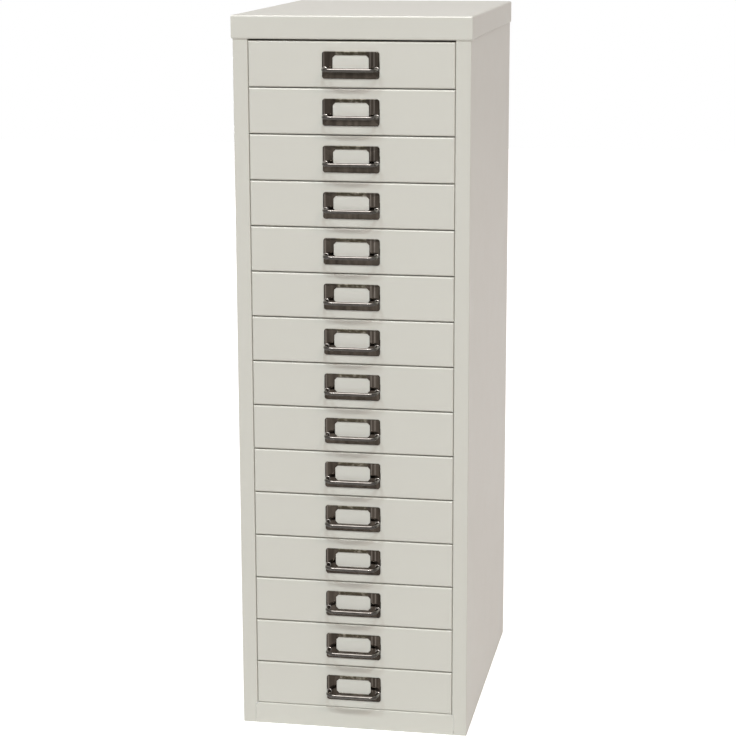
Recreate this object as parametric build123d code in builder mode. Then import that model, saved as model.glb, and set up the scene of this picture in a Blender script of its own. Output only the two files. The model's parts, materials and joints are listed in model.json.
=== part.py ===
from build123d import *
from math import cos, radians, sin, sqrt
import os

# A floor-standing sheet-steel cabinet with fifteen shallow drawers. X runs to the right, Y to the back
# and Z up. The origin is on the floor, at the middle of the whole outline with its pulls. Sizes are in
# millimetres.

# Cabinet
cabinet_width = 279.0
cabinet_depth = 380.0
cabinet_height = 860.0
steel = 0.9  # gauge of the carcass sheets and of the drawer fronts
bend_radius = 1.4  # of the carcass folds, on their outer face
cap_height = 27.0
cap_side_overhang = 1.3
cap_front_overhang = 2.0
cap_back_overhang = 1.3
cap_top_radius = 2.4
cap_bottom_radius = 2.0
cap_lip = 14.0  # inward lip under the cap, which rests on the body
stile_width = 17.7
stile_return = 12.0
rear_flange = 14.0

# Base, linings and back
plinth_height = 26.0
plinth_edge_radius = 2.0
plinth_lap = 2.3  # how far the plinth reaches past the stile's edge, into a notch with a sloping top
plinth_seam = 0.3  # open joint between the plinth and each stile
plinth_corner_seam = 0.7  # the same along the sloping top of the notch
base_foot = 12.0  # inward flanges that stand on the floor
base_side_flange = 12.0
lining_lap = 9.0  # how far each lining laps on the stile's return
lining_flange = 12.0
back_clearance = 0.5  # from the back panel's edges to the folds of the sides

# Drawers
drawer_count = 15
front_side_gap = 0.5
front_spacing = 1.2  # shadow gap between one front and the next
cap_gap = 2.0  # shadow gap between the top front and the cap
plinth_gap = 0.4  # between the bottom front and the plinth
front_return = 12.0
front_edge_radius = 2.0
tray_gauge = 0.8
tray_wall_height = 42.0
tray_rear_drop = 4.0  # how much lower the rear wall is than the flanges
tray_rear_clearance = 18.0  # from the rear wall to the back panel
flange_width = 6.5
drawer_travel = 290.0

# Runners and glides
runner_width = 9.0
runner_leg = 10.0
runner_side_clearance = 1.9  # from the runner's edge to the tray's side wall
runner_end_clearance = 6.0  # from a runner's rear end to the back panel
closing_clearance = 0.4  # from the closed front's returns to the runners' ends
glide_floor = 1.0
glide_web = 1.2
glide_lip = 6.0  # width of the upper leg that keeps the flange down
glide_head_room = 1.4  # free height above the flange in its channel
running_clearance = 0.2
stop_length = 2.5
ear_length = 14.0
ear_clearance = 0.6  # from the ear to the glide's web, and from the flange to the stop

# Pulls and cards
pull_width = 66.5
pull_height = 31.0
pull_corner = 3.0
pull_drop = 0.6  # how far the pull sits below the middle of its front
pull_standoff = 1.4  # from the drawer's face to the plate's face
plate_gauge = 0.8
rim_width = 1.2  # of the plate's turned rim, which stands on the front
window_width = 42.0
window_height = 18.0
window_top_margin = 4.2
window_clip = 3.0
bow_width = 64.6  # over the outsides of both arms
bow_reach = 17.6  # from the plate's face to the middle of the bar
bow_bar = 4.4  # across the bar's flats
bow_sides = 8
bow_bend = 10.0
bow_facet = 30  # degrees that the bar turns at each facet of a bend
bow_drop = 20.1  # from the plate's upper edge to the middle of the bar
card_width = 58.0
card_height = 26.0
card_thickness = 0.3
card_clearance = 0.6
prong_height = 8.0
prong_leg = 5.0
slot_clearance = 0.3

# Places of the carcass
pull_projection = pull_standoff + bow_reach + bow_bar / 2
y_back_limit = (cabinet_depth - cap_front_overhang + pull_projection) / 2
y_cap_front = y_back_limit - cabinet_depth
y_face = y_cap_front + cap_front_overhang
y_back = y_back_limit - cap_back_overhang
y_inner_back = y_back - 2 * steel
y_cap_middle = (y_cap_front + y_back_limit) / 2
body_half = cabinet_width / 2 - cap_side_overhang
body_top = cabinet_height - cap_height
opening_half = body_half - stile_width
plinth_half = opening_half + plinth_lap - plinth_seam
lining_face = opening_half + steel
stack_height = body_top - cap_gap - plinth_height - plinth_gap
pitch = (stack_height + front_spacing) / drawer_count
lowest_bay = plinth_height + plinth_gap - front_spacing / 2
plinth_corner_cut = plinth_lap - plinth_seam + sqrt(2) * plinth_corner_seam

# Places of a drawer, its runner and its glide, with heights above the bottom of the drawer's own bay
front_half = opening_half - front_side_gap
front_height = pitch - front_spacing
front_bottom = front_spacing / 2
front_middle = front_bottom + front_height / 2
y_skin_back = y_face + steel
y_return = y_face + front_return
y_runner_front = y_return + closing_clearance
y_runner_back = y_inner_back - runner_end_clearance
y_tray_back = y_inner_back - tray_rear_clearance
tray_half = lining_face - runner_width - runner_side_clearance
tray_bottom = front_bottom + steel
flange_top = tray_bottom + tray_wall_height
flange_bottom = flange_top - tray_gauge
flange_edge = tray_half + flange_width
glide_top = flange_bottom - running_clearance
runner_top = glide_top - glide_floor
channel_top = flange_top + glide_head_room
web_face = lining_face - glide_web
lip_edge = web_face - glide_lip
stop_edge = flange_edge + ear_clearance
ear_edge = web_face - ear_clearance
y_stop_back = y_runner_front + stop_length
y_ear = y_stop_back + drawer_travel + running_clearance

# Places of a pull, with heights above the bottom of its bay
pull_middle = front_middle - pull_drop
pull_top = pull_middle + pull_height / 2
pocket_depth = pull_standoff - plate_gauge
pocket_bottom = pull_middle - pull_height / 2 + rim_width
window_middle = pull_top - window_top_margin - window_height / 2
prong_bottom = pull_middle - prong_height / 2
prong_top = pull_middle + prong_height / 2
prong_outside = pull_width / 2
prong_inside = pull_width / 2 - plate_gauge
y_plate = y_face - pull_standoff
y_plate_back = y_plate + plate_gauge
y_bar = y_plate - bow_reach
arm_x = (bow_width - bow_bar) / 2
bar_middle = pull_top - bow_drop

# Looks out of the cabinet's front, with local X to the right and local Y up
face_plane = Plane.XZ.offset(-y_face)
runner_plane = Plane.XZ.offset(-y_runner_front)
runner_length = y_runner_back - y_runner_front

os.makedirs("parts", exist_ok=True)


def keep(part, name):
    """Names a finished piece and writes it."""
    part.label = name
    export_step(part, f"parts/{name}.step")


def bay_bottom(number):
    """Height of the bottom of a drawer's bay, where drawer 1 is the top one."""
    return lowest_bay + (drawer_count - number) * pitch


def folded_section(points, gauge):
    """Section of a bent sheet with its outer face on the points and its thickness to the right of them."""
    with BuildSketch() as section:
        with BuildLine():
            FilletPolyline(*points, radius=bend_radius)
            offset(amount=gauge, side=Side.RIGHT)
        make_face()
    return section.sketch


def creased_section(points, gauge):
    """The same for a small sheet that is pressed sharp along its bends."""
    with BuildSketch() as section:
        with BuildLine():
            Polyline(*points)
            offset(amount=gauge, side=Side.RIGHT, kind=Kind.INTERSECTION)
        make_face()
    return section.sketch


def flat_piece(low, high):
    """A flat stretch of sheet between its lowest and its highest corner."""
    with BuildPart() as piece:
        with Locations(low):
            Box(
                high[0] - low[0],
                high[1] - low[1],
                high[2] - low[2],
                align=(Align.MIN, Align.MIN, Align.MIN),
            )
    return piece.part


# Top cap: a hollow lid folded from one sheet, whose lips turn in under it and rest on the body
with BuildPart() as top_cap:
    with BuildSketch(Plane.XY.offset(body_top)):
        with Locations((0, y_cap_middle)):
            Rectangle(cabinet_width, cabinet_depth)
    extrude(amount=cap_height)
    fillet(top_cap.faces().sort_by(Axis.Z)[-1].edges(), radius=cap_top_radius)
    fillet(top_cap.faces().sort_by(Axis.Z)[0].edges(), radius=cap_bottom_radius)
    offset(amount=-steel, mode=Mode.SUBTRACT)
    with BuildSketch(Plane.XY.offset(body_top)):
        with Locations((0, y_cap_middle)):
            Rectangle(cabinet_width - 2 * cap_lip, cabinet_depth - 2 * cap_lip)
    extrude(amount=steel, mode=Mode.SUBTRACT)
keep(top_cap.part, "top_cap")

# Side panels: one sheet each, folded into the stile and its return at the front and a flange at the back
with BuildPart() as right_side:
    with BuildSketch():
        add(
            folded_section(
                [
                    (body_half - rear_flange, y_back),
                    (body_half, y_back),
                    (body_half, y_face),
                    (opening_half, y_face),
                    (opening_half, y_face + stile_return),
                ],
                steel,
            )
        )
    extrude(amount=body_top)
    # The return ends above the plinth, which fills the notch that this leaves in the stile
    with BuildSketch(face_plane):
        with BuildLine():
            Polyline(
                (opening_half, 0),
                (opening_half + plinth_lap, 0),
                (opening_half + plinth_lap, plinth_height - plinth_lap),
                (opening_half, plinth_height),
                close=True,
            )
        make_face()
    extrude(amount=-stile_return, mode=Mode.SUBTRACT)
keep(right_side.part, "right_side_panel")
keep(mirror(right_side.part, about=Plane.YZ), "left_side_panel")

# Base: one sheet whose front wall is the plinth, with feet turned in under its front and rear walls
with BuildPart() as base_pan:
    with BuildSketch(Plane.YZ.offset(-plinth_half)):
        add(
            creased_section(
                [
                    (y_face + base_foot, 0),
                    (y_face, 0),
                    (y_face, plinth_height),
                    (y_inner_back, plinth_height),
                    (y_inner_back, 0),
                    (y_inner_back - base_foot, 0),
                ],
                steel,
            )
        )
    extrude(amount=2 * plinth_half)
    fillet(base_pan.faces().sort_by(Axis.Y)[0].edges().sort_by(Axis.Z)[-1], radius=plinth_edge_radius)
    # Its upper corners are cut off to suit the sloping tops of the stiles' notches
    with BuildSketch(face_plane):
        for side in (-1, 1):
            with BuildLine():
                Polyline(
                    (side * plinth_half, plinth_height),
                    (side * (plinth_half - plinth_corner_cut), plinth_height),
                    (side * plinth_half, plinth_height - plinth_corner_cut),
                    close=True,
                )
            make_face()
    extrude(amount=-stile_return, mode=Mode.SUBTRACT)
    for left in (-plinth_half, plinth_half - steel):
        add(
            flat_piece(
                (left, y_face + base_foot, plinth_height - base_side_flange),
                (left + steel, y_inner_back - base_foot, plinth_height - steel),
            )
        )
keep(base_pan.part, "base_pan")

# Back panel: a plain sheet that lies against the rear flanges from inside
with BuildPart() as back_panel:
    with BuildSketch(Plane.XZ.offset(-y_inner_back)):
        with Locations((0, body_top / 2)):
            Rectangle(2 * (body_half - bend_radius - back_clearance), body_top)
    extrude(amount=-steel)
keep(back_panel.part, "back_panel")

# Runner racks: a lining welded behind each stile, with an angle for every drawer
with BuildPart() as right_rack:
    with BuildSketch(Plane.XY.offset(plinth_height)):
        add(
            creased_section(
                [
                    (lining_face, y_face + stile_return - lining_lap),
                    (lining_face, y_inner_back),
                    (lining_face + lining_flange, y_inner_back),
                ],
                steel,
            )
        )
    extrude(amount=body_top - plinth_height)
    for number in range(1, drawer_count + 1):
        ledge = bay_bottom(number) + runner_top
        with BuildSketch(runner_plane):
            add(
                creased_section(
                    [
                        (lining_face - runner_width, ledge),
                        (lining_face, ledge),
                        (lining_face, ledge - runner_leg),
                    ],
                    steel,
                )
            )
        extrude(amount=-runner_length)
keep(right_rack.part, "right_runner_rack")
keep(mirror(right_rack.part, about=Plane.YZ), "left_runner_rack")

# Glides: a channel moulded for each runner, which holds the flange down, with a stop at its front end
with BuildPart() as right_glides:
    for number in range(1, drawer_count + 1):
        bay = bay_bottom(number)
        with BuildSketch(runner_plane):
            with BuildLine():
                Polyline(
                    (lining_face - runner_width, bay + runner_top),
                    (lining_face, bay + runner_top),
                    (lining_face, bay + channel_top + glide_floor),
                    (lip_edge, bay + channel_top + glide_floor),
                    (lip_edge, bay + channel_top),
                    (web_face, bay + channel_top),
                    (web_face, bay + glide_top),
                    (lining_face - runner_width, bay + glide_top),
                    close=True,
                )
            make_face()
        extrude(amount=-runner_length)
        add(
            flat_piece(
                (stop_edge, y_runner_front, bay + glide_top),
                (web_face, y_stop_back, bay + channel_top),
            )
        )
keep(right_glides.part, "right_glides")
keep(mirror(right_glides.part, about=Plane.YZ), "left_glides")

# A drawer without its pull: the folded front with the tray welded into it
with BuildPart() as tray:
    with BuildSketch(face_plane):
        with Locations((0, front_middle)):
            Rectangle(2 * front_half, front_height)
    extrude(amount=-front_return)
    fillet(tray.faces().sort_by(Axis.Y)[0].edges(), radius=front_edge_radius)
    with BuildSketch(face_plane.offset(-steel)):
        with Locations((0, front_middle)):
            Rectangle(2 * (front_half - steel), front_height - 2 * steel)
    extrude(amount=-front_return, mode=Mode.SUBTRACT)
    # Floor, side walls and flanges are one bent sheet
    with BuildSketch(face_plane.offset(-steel)):
        add(
            creased_section(
                [
                    (flange_edge, flange_bottom),
                    (tray_half, flange_bottom),
                    (tray_half, tray_bottom),
                    (-tray_half, tray_bottom),
                    (-tray_half, flange_bottom),
                    (-flange_edge, flange_bottom),
                ],
                tray_gauge,
            )
        )
    extrude(amount=y_skin_back - y_tray_back)
    add(
        flat_piece(
            (tray_gauge - tray_half, y_tray_back - tray_gauge, tray_bottom + tray_gauge),
            (tray_half - tray_gauge, y_tray_back, flange_top - tray_rear_drop),
        )
    )
    for left, right in ((-ear_edge, -flange_edge), (flange_edge, ear_edge)):
        add(flat_piece((left, y_ear, flange_bottom), (right, y_ear + ear_length, flange_top)))
    # The walls' front edges fold outwards to the returns of the front
    wing_end = front_half - steel
    for left, right in ((-wing_end, -tray_half), (tray_half, wing_end)):
        add(flat_piece((left, y_return - tray_gauge, tray_bottom), (right, y_return, flange_bottom)))
    prong_middle = (prong_outside + prong_inside) / 2
    with BuildSketch(face_plane):
        with Locations((-prong_middle, pull_middle), (prong_middle, pull_middle)):
            Rectangle(plate_gauge + 2 * slot_clearance, prong_height + 2 * slot_clearance)
    extrude(amount=-steel, mode=Mode.SUBTRACT)

# A pull: a hollow plate with a window, a bar bent into a bow, and two prongs turned over behind the front
with BuildPart() as pull:
    with BuildSketch(face_plane):
        with Locations((0, pull_middle)):
            RectangleRounded(pull_width, pull_height, pull_corner)
    extrude(amount=pull_standoff)
    # The pocket behind the plate is open above, where the card goes in
    with BuildSketch(face_plane):
        with Locations((0, pull_middle)):
            Rectangle(pull_width - 2 * rim_width, pull_height - 2 * rim_width)
            Rectangle(card_width + 2 * card_clearance, pull_height / 2, align=(Align.CENTER, Align.MIN))
    extrude(amount=pocket_depth, mode=Mode.SUBTRACT)
    with BuildSketch(face_plane) as window:
        with Locations((0, window_middle)):
            Rectangle(window_width, window_height)
        chamfer(window.vertices(), window_clip)
    extrude(amount=pull_standoff, mode=Mode.SUBTRACT)
    bend = [
        (arm_x - bow_bend * (1 - cos(radians(turn))), y_bar + bow_bend * (1 - sin(radians(turn))))
        for turn in range(0, 91, bow_facet)
    ]
    with BuildLine(Plane.XY.offset(bar_middle)) as bow:
        Polyline(
            (arm_x, y_plate_back),
            *bend,
            *[(-x, y) for x, y in reversed(bend)],
            (-arm_x, y_plate_back),
        )
    with BuildSketch(Plane(bow.line @ 0, z_dir=bow.line % 0)):
        RegularPolygon(bow_bar / 2, bow_sides, major_radius=False, rotation=180 / bow_sides)
    sweep(transition=Transition.RIGHT)
    for left, right in ((-prong_outside, -prong_inside), (prong_inside, prong_outside)):
        add(flat_piece((left, y_face, prong_bottom), (right, y_skin_back, prong_top)))
    for left, right in (
        (-prong_outside, prong_leg - prong_inside),
        (prong_inside - prong_leg, prong_outside),
    ):
        add(
            flat_piece(
                (left, y_skin_back, prong_bottom),
                (right, y_skin_back + plate_gauge, prong_top),
            )
        )

# A card behind the window, resting on the plate's lower rim
with BuildPart() as card:
    with BuildSketch(Plane.XZ.offset(-y_plate_back)):
        with Locations((0, pocket_bottom)):
            Rectangle(card_width, card_height, align=(Align.CENTER, Align.MIN))
    extrude(amount=-card_thickness)

for number in range(1, drawer_count + 1):
    rise = Location((0, 0, bay_bottom(number)))
    keep(tray.part.moved(rise), f"drawer_{number:02d}_tray")
    keep(pull.part.moved(rise), f"drawer_{number:02d}_pull")
    keep(card.part.moved(rise), f"drawer_{number:02d}_label")
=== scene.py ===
import json
from itertools import chain
from math import cos, pi, radians, sin, sqrt

import bmesh
import bpy
from mathutils import Matrix, Vector

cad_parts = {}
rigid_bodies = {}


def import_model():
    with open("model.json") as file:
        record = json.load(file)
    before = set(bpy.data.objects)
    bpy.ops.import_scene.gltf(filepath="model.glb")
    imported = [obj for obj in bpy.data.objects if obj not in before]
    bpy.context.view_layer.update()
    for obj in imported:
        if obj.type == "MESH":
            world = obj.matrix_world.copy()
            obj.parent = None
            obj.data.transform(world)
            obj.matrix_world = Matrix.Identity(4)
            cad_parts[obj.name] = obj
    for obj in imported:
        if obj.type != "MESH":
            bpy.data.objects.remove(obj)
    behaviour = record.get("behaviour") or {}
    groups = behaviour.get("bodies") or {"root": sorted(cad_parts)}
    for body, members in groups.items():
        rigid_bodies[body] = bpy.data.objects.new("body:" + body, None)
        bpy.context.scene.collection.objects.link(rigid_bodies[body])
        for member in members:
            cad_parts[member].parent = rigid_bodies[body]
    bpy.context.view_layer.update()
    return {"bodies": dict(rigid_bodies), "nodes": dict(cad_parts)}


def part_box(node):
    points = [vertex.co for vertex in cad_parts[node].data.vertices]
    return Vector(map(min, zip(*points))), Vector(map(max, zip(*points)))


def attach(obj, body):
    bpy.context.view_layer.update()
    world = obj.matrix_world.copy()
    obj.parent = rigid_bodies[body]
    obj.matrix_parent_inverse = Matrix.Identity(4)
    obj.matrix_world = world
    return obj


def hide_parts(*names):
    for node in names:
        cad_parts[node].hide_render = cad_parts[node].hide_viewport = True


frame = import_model()

# Base pan: one folded steel sheet whose front wall is the plinth between the stiles. It is sprayed with
# the same satin enamel as the whole cabinet, over a faint orange peel.
enamel_colour = (0.655, 0.640, 0.572)
enamel_tone_scale = 3.0
enamel_tone_detail = 3
enamel_tone_depth = 0.035
enamel_gloss_scale = 40.0
enamel_gloss_detail = 4
enamel_roughness = 0.42
enamel_roughness_spread = 0.05
enamel_peel_scale = 1500.0
enamel_peel_detail = 2
enamel_peel_height = 0.00006
enamel_specular = 0.3
noise_middle = 0.5


def join(tree, *links):
    """Links pairs of sockets, from an output to an input."""
    for start, end in links:
        tree.links.new(start, end)


def mapped(tree, value, low, high, start=0.0, end=1.0):
    """A value from start to end spread over the range from low to high, and held at its limits."""
    node = tree.nodes.new("ShaderNodeMapRange")
    for name, number in (("From Min", start), ("From Max", end), ("To Min", low), ("To Max", high)):
        node.inputs[name].default_value = number
    tree.links.new(value, node.inputs["Value"])
    return node.outputs["Result"]


def worked_out(tree, operation, *values):
    """The result of a math node on values that are numbers or outputs."""
    node = tree.nodes.new("ShaderNodeMath")
    node.operation = operation
    for socket, value in zip(node.inputs, values):
        if isinstance(value, float):
            socket.default_value = value
        else:
            tree.links.new(value, socket)
    return node.outputs["Value"]


def noise(tree, place, scale, detail):
    """A noise texture on the given coordinates."""
    node = tree.nodes.new("ShaderNodeTexNoise")
    node.inputs["Scale"].default_value = scale
    node.inputs["Detail"].default_value = detail
    tree.links.new(place, node.inputs["Vector"])
    return node


def bumped(tree, height, depth):
    """Bumps of the given depth on the material's shader."""
    node = tree.nodes.new("ShaderNodeBump")
    node.inputs["Distance"].default_value = depth
    tree.links.new(height, node.inputs["Height"])
    tree.links.new(node.outputs["Normal"], tree.nodes["Principled BSDF"].inputs["Normal"])


def new_finish(name):
    """A new material with its node tree, its shader and the coordinates on the piece."""
    material = bpy.data.materials.new(name)
    material.use_nodes = True
    tree = material.node_tree
    place = tree.nodes.new("ShaderNodeTexCoord")
    return material, tree, tree.nodes["Principled BSDF"], place.outputs["Object"]


def sockets(group, inputs, outputs):
    """Gives a shader group its named inputs, with their starting values, and its named outputs."""
    for name, kind, start in inputs:
        socket = group.interface.new_socket(name, in_out="INPUT", socket_type=kind)
        if start is not None:
            socket.default_value = start
    for name, kind in outputs:
        group.interface.new_socket(name, in_out="OUTPUT", socket_type=kind)
    return group.nodes.new("NodeGroupInput"), group.nodes.new("NodeGroupOutput")


enamel_skin = bpy.data.node_groups.new("enamel_skin", "ShaderNodeTree")
given, made = sockets(
    enamel_skin,
    [
        ("Place", "NodeSocketVector", None),
        ("Colour", "NodeSocketColor", (*enamel_colour, 1)),
        ("Tone Scale", "NodeSocketFloat", enamel_tone_scale),
        ("Tone Depth", "NodeSocketFloat", enamel_tone_depth),
        ("Peel Scale", "NodeSocketFloat", enamel_peel_scale),
        ("Gloss Scale", "NodeSocketFloat", enamel_gloss_scale),
    ],
    [("Colour", "NodeSocketColor"), ("Gloss", "NodeSocketFloat"), ("Peel", "NodeSocketFloat")],
)
tone = noise(enamel_skin, given.outputs["Place"], enamel_tone_scale, enamel_tone_detail)
gloss = noise(enamel_skin, given.outputs["Place"], enamel_gloss_scale, enamel_gloss_detail)
peel = noise(enamel_skin, given.outputs["Place"], enamel_peel_scale, enamel_peel_detail)
centred = worked_out(enamel_skin, "SUBTRACT", tone.outputs["Fac"], noise_middle)
strength = worked_out(enamel_skin, "MULTIPLY_ADD", centred, given.outputs["Tone Depth"], 1.0)
tinted = enamel_skin.nodes.new("ShaderNodeVectorMath")
tinted.operation = "SCALE"
join(
    enamel_skin,
    (given.outputs["Tone Scale"], tone.inputs["Scale"]),
    (given.outputs["Gloss Scale"], gloss.inputs["Scale"]),
    (given.outputs["Peel Scale"], peel.inputs["Scale"]),
    (given.outputs["Colour"], tinted.inputs[0]),
    (strength, tinted.inputs["Scale"]),
    (tinted.outputs["Vector"], made.inputs["Colour"]),
    (gloss.outputs["Fac"], made.inputs["Gloss"]),
    (peel.outputs["Fac"], made.inputs["Peel"]),
)


def enamel(name, colour, roughness, peel_height):
    """Satin enamel in one colour, with its own gloss and depth of orange peel."""
    material, tree, shader, place = new_finish(name)
    shader.inputs["Specular IOR Level"].default_value = enamel_specular
    skin = tree.nodes.new("ShaderNodeGroup")
    skin.node_tree = enamel_skin
    skin.inputs["Colour"].default_value = (*colour, 1)
    smoothest = roughness - enamel_roughness_spread
    roughest = roughness + enamel_roughness_spread
    join(
        tree,
        (place, skin.inputs["Place"]),
        (skin.outputs["Colour"], shader.inputs["Base Color"]),
        (mapped(tree, skin.outputs["Gloss"], smoothest, roughest), shader.inputs["Roughness"]),
    )
    bumped(tree, skin.outputs["Peel"], peel_height)
    return material


def finish_node(name, material):
    """Puts a finish on a piece that is shown as it was modelled."""
    for slot in frame["nodes"][name].material_slots:
        slot.material = material


cabinet_enamel = enamel("cabinet_enamel", enamel_colour, enamel_roughness, enamel_peel_height)
finish_node("base_pan", cabinet_enamel)

# Side panels: one steel sheet each, folded at the front into a stile and at the back into a flange, and
# welded to the base pan.
finish_node("left_side_panel", cabinet_enamel)
finish_node("right_side_panel", cabinet_enamel)

# Back panel: a plain steel sheet, spot welded against the rear flanges of the side panels from inside,
# before the cabinet is sprayed.
finish_node("back_panel", cabinet_enamel)

# Runner racks: a steel lining behind each stile with a welded angle for every drawer. Inside the cabinet
# the spray lands thinner and drier, so it is duller than outside.
inner_colour = (0.60, 0.585, 0.52)
inner_roughness = 0.5
inner_peel_height = 0.0001
inner_enamel = enamel("inner_enamel", inner_colour, inner_roughness, inner_peel_height)
finish_node("left_runner_rack", inner_enamel)
finish_node("right_runner_rack", inner_enamel)

# Glides: one channel for each runner, moulded in natural nylon and pressed onto the runner's angle. The
# nylon is slightly milky and waxy.
nylon_dark = (0.60, 0.58, 0.52)
nylon_light = (0.72, 0.70, 0.64)
nylon_subsurface = 0.1
nylon_roughness = (0.4, 0.5)
nylon_cloud_scale = 60.0
nylon_cloud_detail = 3
nylon_grain_scale = 900.0
nylon_grain_detail = 2
nylon_grain_height = 0.00005


def mixed(tree, factor, first, second, kind="MIX"):
    """A colour mixed from two, each of them a colour or an output."""
    node = tree.nodes.new("ShaderNodeMix")
    node.data_type = "RGBA"
    node.blend_type = kind
    tree.links.new(factor, node.inputs["Factor"])
    for name, colour in (("A", first), ("B", second)):
        if isinstance(colour, tuple):
            node.inputs[name].default_value = (*colour, 1)
        else:
            tree.links.new(colour, node.inputs[name])
    return node.outputs["Result"]


nylon, tree, shader, place = new_finish("natural_nylon")
shader.inputs["Subsurface Weight"].default_value = nylon_subsurface
cloud = noise(tree, place, nylon_cloud_scale, nylon_cloud_detail).outputs["Fac"]
grain = noise(tree, place, nylon_grain_scale, nylon_grain_detail).outputs["Fac"]
join(
    tree,
    (mixed(tree, cloud, nylon_dark, nylon_light), shader.inputs["Base Color"]),
    (mapped(tree, cloud, *nylon_roughness), shader.inputs["Roughness"]),
)
bumped(tree, grain, nylon_grain_height)
finish_node("left_glides", nylon)
finish_node("right_glides", nylon)

# Top cap: a hollow steel lid with rounded upper edges and lips turned in below, which rests on the body
# and laps over it a little all round.
finish_node("top_cap", cabinet_enamel)

# Drawers: fifteen trays of thinner sheet, each welded into a folded front. They hang by their flanges in
# the glides, and slide out to the front.
drawer_names = sorted(name for name in frame["bodies"] if name.startswith("drawer_"))
for name in drawer_names:
    finish_node(f"{name}_tray", cabinet_enamel)

# Label cards: plain off-white card, cut to the pocket behind each pull's window. A card is slid in from
# above and stands loose on the pocket's lower rim.
card_colour = (0.66, 0.648, 0.585)
card_fibre = (0.60, 0.585, 0.525)
card_fibre_mix = (0.4, 1.2)
card_fibre_scale = 700.0
card_fibre_detail = 4
card_fibre_stretch = (1.0, 1.0, 4.0)
card_fibre_height = 0.00004
card_roughness = (0.75, 0.9)


def stretched(tree, place, scale):
    """Coordinates scaled along each axis."""
    node = tree.nodes.new("ShaderNodeMapping")
    node.inputs["Scale"].default_value = scale
    tree.links.new(place, node.inputs["Vector"])
    return node.outputs["Vector"]


card, tree, shader, place = new_finish("label_card")
along = stretched(tree, place, card_fibre_stretch)
fibres = noise(tree, along, card_fibre_scale, card_fibre_detail).outputs["Fac"]
card_mix = mapped(tree, fibres, *card_fibre_mix)
join(
    tree,
    (mixed(tree, card_mix, card_fibre, card_colour), shader.inputs["Base Color"]),
    (mapped(tree, fibres, *card_roughness), shader.inputs["Roughness"]),
)
bumped(tree, fibres, card_fibre_height)
for name in drawer_names:
    finish_node(f"{name}_label", card)

# Pulls: a plate pressed from thin steel with a window for the card, and a round bar bent into a bow and
# brazed to it. Both are polished and plated dark, and two prongs hold them behind the drawer's front.
bar_radius = 0.0022
bar_sides = 24
bow_reach = 0.0176
bow_half = 0.0301
bow_bend = 0.0100
bend_steps = 12
bow_drop = 0.0201
bow_slot = 1
root_fillet = 0.0009
root_steps = 6
plate_gauge = 0.0008
plate_standoff = 0.0014
plate_rim = 0.0012
plate_corner = 0.0030
plate_edge = 0.0006
edge_steps = 5
corner_steps = 8
window_width = 0.0420
window_height = 0.0180
window_top_margin = 0.0042
window_clip = 0.0030
window_edge = 0.0004
card_opening = 0.0296
prong_height = 0.0080
prong_leg = 0.0050
front_sheet = 0.0009
sharp_from = radians(40)

pull_low, pull_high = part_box("drawer_01_pull")
plate_half_width = (pull_high.x - pull_low.x) / 2
plate_half_height = (pull_high.z - pull_low.z) / 2
plate_middle = (pull_high.z + pull_low.z) / 2
y_bar = pull_low.y + bar_radius
y_plate = y_bar + bow_reach
y_front = y_plate + plate_standoff
bar_height = pull_high.z - bow_drop
window_middle = pull_high.z - window_top_margin - window_height / 2


def rounded_outline(half_width, half_height, corner, middle):
    """Points of a rectangle with round corners, as X and Z, anticlockwise from its lower right corner."""
    points = []
    for quarter, (side, level) in enumerate(((1, -1), (1, 1), (-1, 1), (-1, -1))):
        for step in range(corner_steps + 1):
            turn = radians(-90 + 90 * quarter + 90 * step / corner_steps)
            x = side * (half_width - corner) + corner * cos(turn)
            z = middle + level * (half_height - corner) + corner * sin(turn)
            points.append((x, z))
    return points


def clipped_outline(half_width, half_height, clip, middle):
    """Points of a rectangle with its corners cut off, anticlockwise from its lower right corner."""
    return [
        (half_width - clip, middle - half_height),
        (half_width, middle - half_height + clip),
        (half_width, middle + half_height - clip),
        (half_width - clip, middle + half_height),
        (clip - half_width, middle + half_height),
        (-half_width, middle + half_height - clip),
        (-half_width, middle - half_height + clip),
        (clip - half_width, middle - half_height),
    ]


def add_ring(mesh, outline, y):
    """A closed ring of points at one depth."""
    return [mesh.verts.new((x, y, z)) for x, z in outline]


def bridge(mesh, first, second):
    """Quads between two rings with as many points."""
    for i in range(len(first)):
        j = (i + 1) % len(first)
        mesh.faces.new((first[i], first[j], second[j], second[i]))


def fill_between(mesh, *rings):
    """Flat faces inside the first ring and round the others."""
    edges = []
    for ring in rings:
        for i, vertex in enumerate(ring):
            following = ring[(i + 1) % len(ring)]
            edges.append(mesh.edges.get((vertex, following)) or mesh.edges.new((vertex, following)))
    bmesh.ops.triangle_fill(mesh, use_beauty=True, edges=edges)


def add_plate(mesh):
    """The plate with its rounded edges and its window."""
    outer = []
    window = []
    for step in range(edge_steps + 1):
        turn = radians(90 * step / edge_steps)
        inset = plate_edge * (1 - cos(turn))
        y = y_plate + plate_edge * (1 - sin(turn))
        outline = rounded_outline(
            plate_half_width - inset, plate_half_height - inset, plate_corner - inset, plate_middle
        )
        outer.append(add_ring(mesh, outline, y))
        spread = window_edge * (1 - cos(turn))
        outline = clipped_outline(
            window_width / 2 + spread, window_height / 2 + spread, window_clip, window_middle
        )
        window.append(add_ring(mesh, outline, y_plate + window_edge * (1 - sin(turn))))
    y_back = y_plate + plate_gauge
    outline = rounded_outline(plate_half_width, plate_half_height, plate_corner, plate_middle)
    outer.insert(0, add_ring(mesh, outline, y_back))
    outline = clipped_outline(window_width / 2, window_height / 2, window_clip, window_middle)
    window.insert(0, add_ring(mesh, outline, y_back))
    for rings in (outer, window):
        for first, second in zip(rings, rings[1:]):
            bridge(mesh, first, second)
    fill_between(mesh, outer[-1], window[-1])
    fill_between(mesh, outer[0], window[0])


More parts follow.
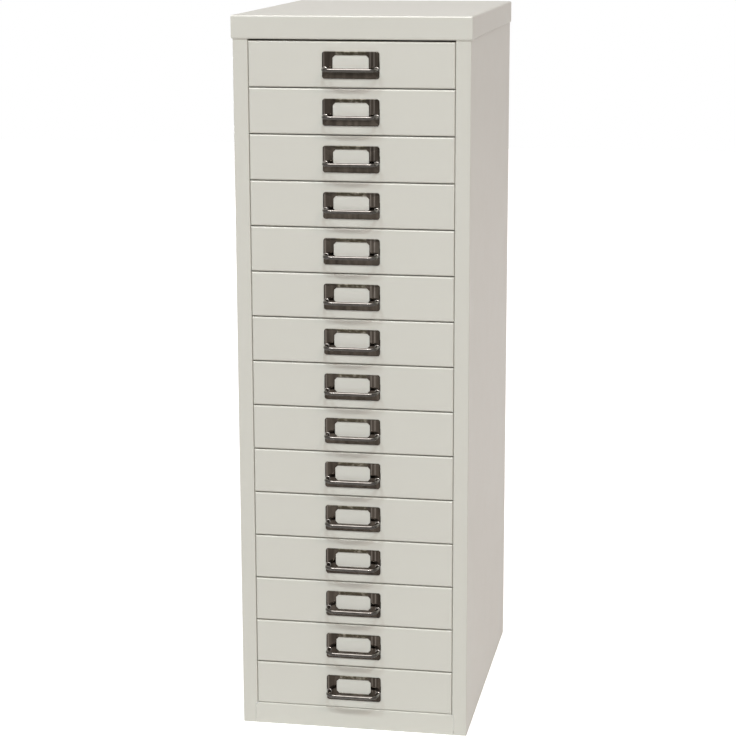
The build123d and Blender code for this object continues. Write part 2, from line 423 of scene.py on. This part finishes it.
def add_rim(mesh):
    """The plate's turned-back rim, which stands on the drawer's front and is open above for the card."""
    right_side = 2 * (corner_steps + 1)
    lines = []
    for inset in (0.0, plate_rim):
        half_height = plate_half_height - inset
        outline = rounded_outline(
            plate_half_width - inset, half_height, plate_corner - inset, plate_middle
        )
        top = plate_middle + half_height
        around = outline[right_side:] + outline[:right_side]
        lines.append([(-card_opening, top), *around, (card_opening, top)])
    y_seat = y_plate + plate_gauge
    rings = []
    for (x, z), (u, w) in zip(*lines):
        section = ((x, y_seat, z), (x, y_front, z), (u, y_front, w), (u, y_seat, w))
        rings.append([mesh.verts.new(point) for point in section])
    for first, second in zip(rings, rings[1:]):
        bridge(mesh, first, second)
    mesh.faces.new(rings[0])
    mesh.faces.new(rings[-1])


def bow_path():
    """Middle line of the bar from one root to the other, as (place, direction, radius)."""
    path = []
    for step in range(root_steps):
        out = root_fillet * step / root_steps
        flare = root_fillet - sqrt(root_fillet**2 - (root_fillet - out) ** 2)
        path.append((Vector((bow_half, y_plate - out, bar_height)), Vector((0, -1, 0)), bar_radius + flare))
    for step in range(bend_steps + 1):
        turn = radians(90 * step / bend_steps)
        x = bow_half - bow_bend * (1 - cos(turn))
        y = y_bar + bow_bend * (1 - sin(turn))
        path.append((Vector((x, y, bar_height)), Vector((-sin(turn), -cos(turn), 0)), bar_radius))
    mirrored = [
        (Vector((-place.x, place.y, place.z)), Vector((way.x, -way.y, 0)), radius)
        for place, way, radius in reversed(path)
    ]
    return path + mirrored


def add_bow(mesh):
    """The round bar, swept along its path and flared a little where it meets the plate."""
    rings = []
    for place, way, radius in bow_path():
        level = Vector((0, 0, 1))
        across = way.cross(level)
        ring = []
        for side in range(bar_sides):
            turn = 2 * pi * side / bar_sides
            ring.append(mesh.verts.new(place + radius * (cos(turn) * level + sin(turn) * across)))
        rings.append(ring)
    for first, second in zip(rings, rings[1:]):
        bridge(mesh, first, second)
    mesh.faces.new(rings[0])
    mesh.faces.new(rings[-1])
    for vertex in chain(*rings):
        for face in vertex.link_faces:
            face.material_index = bow_slot


def add_bar(mesh, low, high):
    """A flat stretch of sheet between two corners, for the prongs."""
    middle = (Vector(low) + Vector(high)) / 2
    size = Vector(high) - Vector(low)
    place = Matrix.Translation(middle) @ Matrix.Diagonal((*size, 1))
    bmesh.ops.create_cube(mesh, size=1, matrix=place)


def pull_mesh():
    """One pull, at the place of the top drawer's."""
    mesh = bmesh.new()
    add_plate(mesh)
    add_rim(mesh)
    add_bow(mesh)
    outside = plate_half_width
    inside = plate_half_width - plate_gauge
    behind = y_front + front_sheet
    low = plate_middle - prong_height / 2
    high = plate_middle + prong_height / 2
    for left, right in ((-outside, -inside), (inside, outside)):
        add_bar(mesh, (left, y_front, low), (right, behind, high))
    for left, right in ((-outside, prong_leg - inside), (inside - prong_leg, outside)):
        add_bar(mesh, (left, behind, low), (right, behind + plate_gauge, high))
    bmesh.ops.recalc_face_normals(mesh, faces=mesh.faces)
    for face in mesh.faces:
        face.smooth = True
    data = bpy.data.meshes.new("pull")
    mesh.to_mesh(data)
    mesh.free()
    data.set_sharp_from_angle(angle=sharp_from)
    return data


plate_dark = (0.025, 0.0200, 0.0158)
plate_light = (0.068, 0.056, 0.045)
plate_roughness = (0.06, 0.12)
bow_dark = (0.060, 0.054, 0.049)
bow_light = (0.085, 0.078, 0.072)
bow_roughness = (0.03, 0.07)
bow_painted_highlight = (0.30, 0.28, 0.26)
bow_highlight_from = 0.86
bow_highlight_to = 0.99
bow_highlight_end = 1.05
arm_painted_highlight = (0.34, 0.32, 0.30)
arm_highlight_reach = (0.0025, 0.0090)
arm_highlight_rise = (-0.20, 0.60)
rim_painted_shade = (0.30, 0.28, 0.26)
rim_shade_width = 0.0012
rail_half = 0.0165
rail_soft = 0.0020
rail_painted_shade = (0.045, 0.038, 0.026)
rail_painted_glint = (0.190, 0.172, 0.140)
rail_streak_scale = 260.0
rail_streak_detail = 2
rail_streak_reach = 20.0
rail_reflection_range = (0.50, 0.72)
painted_reflection_lines = (-0.0311, 0.0228, 0.0272)
reflection_line_half = 0.0011
reflection_line_fade = 0.0040
painted_reflection_light = (0.140, 0.122, 0.107)
plating_band_scale = 190.0
plating_band_detail = 3
plating_band_stretch = (1.0, 0.4, 0.12)
plating_band_range = (0.30, 0.70)
plating_band_reach = 0.6
plating_rub_scale = 900.0
plating_rub_detail = 3
plating_rub_height = 0.000001


def ramp(tree, value, start, end):
    """A value that rises from 0 at the start to 1 at the end, or falls where the end is lower."""
    return mapped(tree, value, 0.0, 1.0, start, end)


# Plating: dark and light bands stretched upright, partly random tone and partly painted reflection in the
# metal.
plating_skin = bpy.data.node_groups.new("plating_skin", "ShaderNodeTree")
given, made = sockets(
    plating_skin,
    [
        ("Place", "NodeSocketVector", None),
        ("Which", "NodeSocketFloat", 0.0),
        ("Dark", "NodeSocketColor", (*plate_dark, 1)),
        ("Light", "NodeSocketColor", (*plate_light, 1)),
    ],
    [("Colour", "NodeSocketColor"), ("Bands", "NodeSocketFloat"), ("Rub", "NodeSocketFloat")],
)
along = stretched(plating_skin, given.outputs["Place"], plating_band_stretch)
bands = noise(plating_skin, along, plating_band_scale, plating_band_detail)
bands.noise_dimensions = "4D"
rub = noise(plating_skin, given.outputs["Place"], plating_rub_scale, plating_rub_detail)
banded = ramp(plating_skin, bands.outputs["Fac"], *plating_band_range)
join(
    plating_skin,
    (given.outputs["Which"], bands.inputs["W"]),
    (mixed(plating_skin, banded, given.outputs["Dark"], given.outputs["Light"]), made.inputs["Colour"]),
    (banded, made.inputs["Bands"]),
    (rub.outputs["Fac"], made.inputs["Rub"]),
)


def plating(name, dark, light, roughness):
    """Dark nickel plating in light and dark bands, partly painted reflection, differing a little from pull
    to pull.
    """
    material, tree, shader, place = new_finish(name)
    shader.inputs["Metallic"].default_value = 1.0
    which = tree.nodes.new("ShaderNodeObjectInfo")
    skin = tree.nodes.new("ShaderNodeGroup")
    skin.node_tree = plating_skin
    skin.inputs["Dark"].default_value = (*dark, 1)
    skin.inputs["Light"].default_value = (*light, 1)
    spot = tree.nodes.new("ShaderNodeSeparateXYZ")
    join(
        tree,
        (place, skin.inputs["Place"]),
        (place, spot.inputs["Vector"]),
        (mapped(tree, which.outputs["Random"], 0.0, plating_band_reach), skin.inputs["Which"]),
        (mapped(tree, skin.outputs["Bands"], *roughness), shader.inputs["Roughness"]),
    )
    bumped(tree, skin.outputs["Rub"], plating_rub_height)
    return material, skin.outputs["Colour"], spot.outputs


# The plate has painted shade along its rim, thin lines of painted reflection of the bow's arms beside its
# window, and painted reflections, dark with light streaks, above the window, where the cards go in.
plate_metal, plate_tint, spot = plating("plate_plating", plate_dark, plate_light, plate_roughness)
tree = plate_metal.node_tree
place = tree.nodes["Texture Coordinate"].outputs["Object"]
random = tree.nodes["Object Info"].outputs["Random"]
streaks = noise(tree, place, rail_streak_scale, rail_streak_detail)
streaks.noise_dimensions = "4D"
join(tree, (mapped(tree, random, 0.0, rail_streak_reach), streaks.inputs["W"]))
aside = worked_out(tree, "ABSOLUTE", spot["X"])
level = worked_out(tree, "SUBTRACT", spot["Z"], plate_middle)
# Painted shade: the plate darkens towards its rim.
to_side = ramp(tree, aside, plate_half_width - rim_shade_width, plate_half_width)
to_edge = ramp(tree, worked_out(tree, "ABSOLUTE", level), plate_half_height - rim_shade_width, plate_half_height)
rim_shade_mask = worked_out(tree, "MAXIMUM", to_side, to_edge)
# Painted shade and reflection: the rail above the window is dark, with light streaks.
rail_bottom = plate_half_height - window_top_margin
above = ramp(tree, level, rail_bottom - window_edge, rail_bottom)
within = ramp(tree, aside, rail_half + rail_soft, rail_half)
rail = worked_out(tree, "MULTIPLY", above, within)
rail_painted_reflections = mixed(tree, ramp(tree, streaks.outputs["Fac"], *rail_reflection_range), rail_painted_shade, rail_painted_glint)
# Painted reflections of the bow's arms: thin light lines beside the window, above the bar.
arm_level = bar_height - plate_middle
lines = ramp(tree, level, arm_level, arm_level + reflection_line_fade)
reflection_line_mask = None
for line in painted_reflection_lines:
    gap = worked_out(tree, "ABSOLUTE", worked_out(tree, "SUBTRACT", spot["X"], line))
    strength = ramp(tree, gap, reflection_line_half, 0.0)
    reflection_line_mask = strength if reflection_line_mask is None else worked_out(tree, "MAXIMUM", reflection_line_mask, strength)
with_reflection_lines = mixed(tree, worked_out(tree, "MULTIPLY", lines, reflection_line_mask), plate_tint, painted_reflection_light)
shaded = mixed(tree, rim_shade_mask, with_reflection_lines, rim_painted_shade, "MULTIPLY")
join(tree, (mixed(tree, rail, shaded, rail_painted_reflections), tree.nodes["Principled BSDF"].inputs["Base Color"]))

# The bow has a painted highlight, a lighter colour along its top and over the upper side of its arms.
bow_metal, bow_tint, spot = plating("bow_plating", bow_dark, bow_light, bow_roughness)
tree = bow_metal.node_tree
# Painted highlight: a lighter band along the top of the bar and of the arms.
raised = worked_out(tree, "SUBTRACT", spot["Z"], bar_height)
rising = ramp(tree, raised, bow_highlight_from * bar_radius, bow_highlight_to * bar_radius)
falling = ramp(tree, raised, bow_highlight_end * bar_radius, bar_radius)
painted_highlight_mask = worked_out(tree, "MULTIPLY", rising, falling)
# Painted highlight over the upper side of the arms, behind the bar.
behind_bar = ramp(tree, spot["Y"], *(y_bar + reach for reach in arm_highlight_reach))
upper_side = ramp(tree, raised, *(rise * bar_radius for rise in arm_highlight_rise))
arm_highlight_mask = worked_out(tree, "MULTIPLY", worked_out(tree, "MULTIPLY", behind_bar, upper_side), falling)
arm_highlight_tint = mixed(tree, arm_highlight_mask, bow_tint, arm_painted_highlight)
join(tree, (mixed(tree, painted_highlight_mask, arm_highlight_tint, bow_painted_highlight), tree.nodes["Principled BSDF"].inputs["Base Color"]))

pull_data = pull_mesh()
pull_data.materials.append(plate_metal)
pull_data.materials.append(bow_metal)
for name in drawer_names:
    pull = bpy.data.objects.new(f"{name}_bow_pull", pull_data)
    bpy.context.scene.collection.objects.link(pull)
    pull.location.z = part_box(f"{name}_pull")[1].z - pull_high.z
    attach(pull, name)
    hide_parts(f"{name}_pull")

# Studio: a white floor and a white surround. The camera and reflections see them white, and the floor
# still takes a soft shadow.
floor_half = 6.0
floor_colour = (0.80, 0.80, 0.80, 1)
floor_white = 0.70
floor_roughness = 1.0
floor_specular = 0.0
seen_white = (1, 1, 1, 1)
surround_light = 0.375
surround_colour = (1.0, 0.84, 0.79, 1)


def white_rays(tree, plain, white):
    """A strength for camera, glossy and transmission rays, and a plain one for the rest."""
    ray = tree.nodes.new("ShaderNodeLightPath").outputs
    seen = worked_out(tree, "MAXIMUM", ray["Is Camera Ray"], ray["Is Glossy Ray"])
    either = worked_out(tree, "MAXIMUM", seen, ray["Is Transmission Ray"])
    return mapped(tree, either, plain, white)


floor_mesh = bmesh.new()
bmesh.ops.create_grid(floor_mesh, x_segments=1, y_segments=1, size=floor_half)
floor_data = bpy.data.meshes.new("studio_floor")
floor_mesh.to_mesh(floor_data)
floor_mesh.free()
floor = bpy.data.objects.new("studio_floor", floor_data)
bpy.context.scene.collection.objects.link(floor)
floor_paint = bpy.data.materials.new("studio_floor")
floor_paint.use_nodes = True
tree = floor_paint.node_tree
shader = tree.nodes["Principled BSDF"]
shader.inputs["Base Color"].default_value = floor_colour
shader.inputs["Roughness"].default_value = floor_roughness
shader.inputs["Specular IOR Level"].default_value = floor_specular
shader.inputs["Emission Color"].default_value = seen_white
join(tree, (white_rays(tree, 0.0, floor_white), shader.inputs["Emission Strength"]))
floor_data.materials.append(floor_paint)

world = bpy.data.worlds.new("studio")
bpy.context.scene.world = world
world.use_nodes = True
tree = world.node_tree
lighting = tree.nodes["Background"]
lighting.inputs["Color"].default_value = surround_colour
lighting.inputs["Strength"].default_value = surround_light
seen = tree.nodes.new("ShaderNodeBackground")
seen.inputs["Color"].default_value = seen_white
either = tree.nodes.new("ShaderNodeMixShader")
join(
    tree,
    (white_rays(tree, 0.0, 1.0), either.inputs["Fac"]),
    (lighting.outputs["Background"], either.inputs[1]),
    (seen.outputs["Background"], either.inputs[2]),
    (either.outputs["Shader"], tree.nodes["World Output"].inputs["Surface"]),
)

# Lamps: a softbox before the front and one behind the cabinet, three small far lamps that draw the pulls'
# shadows, and a panel overhead that only polished metal and gloss reflect. Each row gives a lamp's name,
# place, size, power in watts and colour.
cabinet_middle = (0.0, -0.18, 0.45)
plain = (1.0, 1.0, 1.0)
cool = (0.88, 1.0, 1.05)
warm = (1.0, 0.85, 0.79)
far_size = (0.96, 0.96)
lamps = (
    ("front_softbox", (0.1, -4.2, 0.45), (0.9, 1.2), 23, cool),
    ("key_lamp", (2.78, -10.96, 14.17), far_size, 820, cool),
    ("left_lamp", (-4.84, -10.22, 14.17), far_size, 620, cool),
    ("right_lamp", (8.72, -9.34, 12.73), far_size, 370, warm),
    ("back_softbox", (-2.6, 4.0, 0.45), (1.6, 0.7), 70, plain),
    ("overhead_panel", (0.0, -0.8, 2.5), (2.6, 1.4), 200, plain),
)


def softbox(name, place, size, power, colour):
    """An area lamp, as wide and as deep as its size says, that faces the cabinet."""
    light = bpy.data.lights.new(name, "AREA")
    light.shape = "RECTANGLE"
    light.size, light.size_y = size
    light.energy = power
    light.color = colour
    lamp = bpy.data.objects.new(name, light)
    bpy.context.scene.collection.objects.link(lamp)
    lamp.location = place
    lamp.rotation_euler = (Vector(cabinet_middle) - Vector(place)).to_track_quat("-Z", "Y").to_euler()
    lamp.visible_camera = False
    return lamp


studio_lamps = {lamp[0]: softbox(*lamp) for lamp in lamps}
studio_lamps["front_softbox"].visible_glossy = False
studio_lamps["overhead_panel"].visible_diffuse = False

# Camera: a little above the cabinet's top and to its right, looking down a little through a long lens
# without shift, so that the whole cabinet stays in the picture from other sides too.
camera_place = (0.452, -2.527, 0.983)
camera_yaw = radians(10.45)
camera_pitch = radians(12.54)
camera_roll = radians(-0.19)
camera_lens = 102.0
camera_sensor = 36.0
camera_data = bpy.data.cameras.new("camera")
camera_data.lens = camera_lens
camera_data.sensor_width = camera_sensor
camera = bpy.data.objects.new("camera", camera_data)
bpy.context.scene.collection.objects.link(camera)
turn = Matrix.Rotation(camera_yaw, 4, "Z") @ Matrix.Rotation(pi / 2 - camera_pitch, 4, "X")
camera.matrix_world = Matrix.Translation(camera_place) @ turn @ Matrix.Rotation(camera_roll, 4, "Z")
bpy.context.scene.camera = camera
bpy.context.scene.view_settings.view_transform = "Standard"
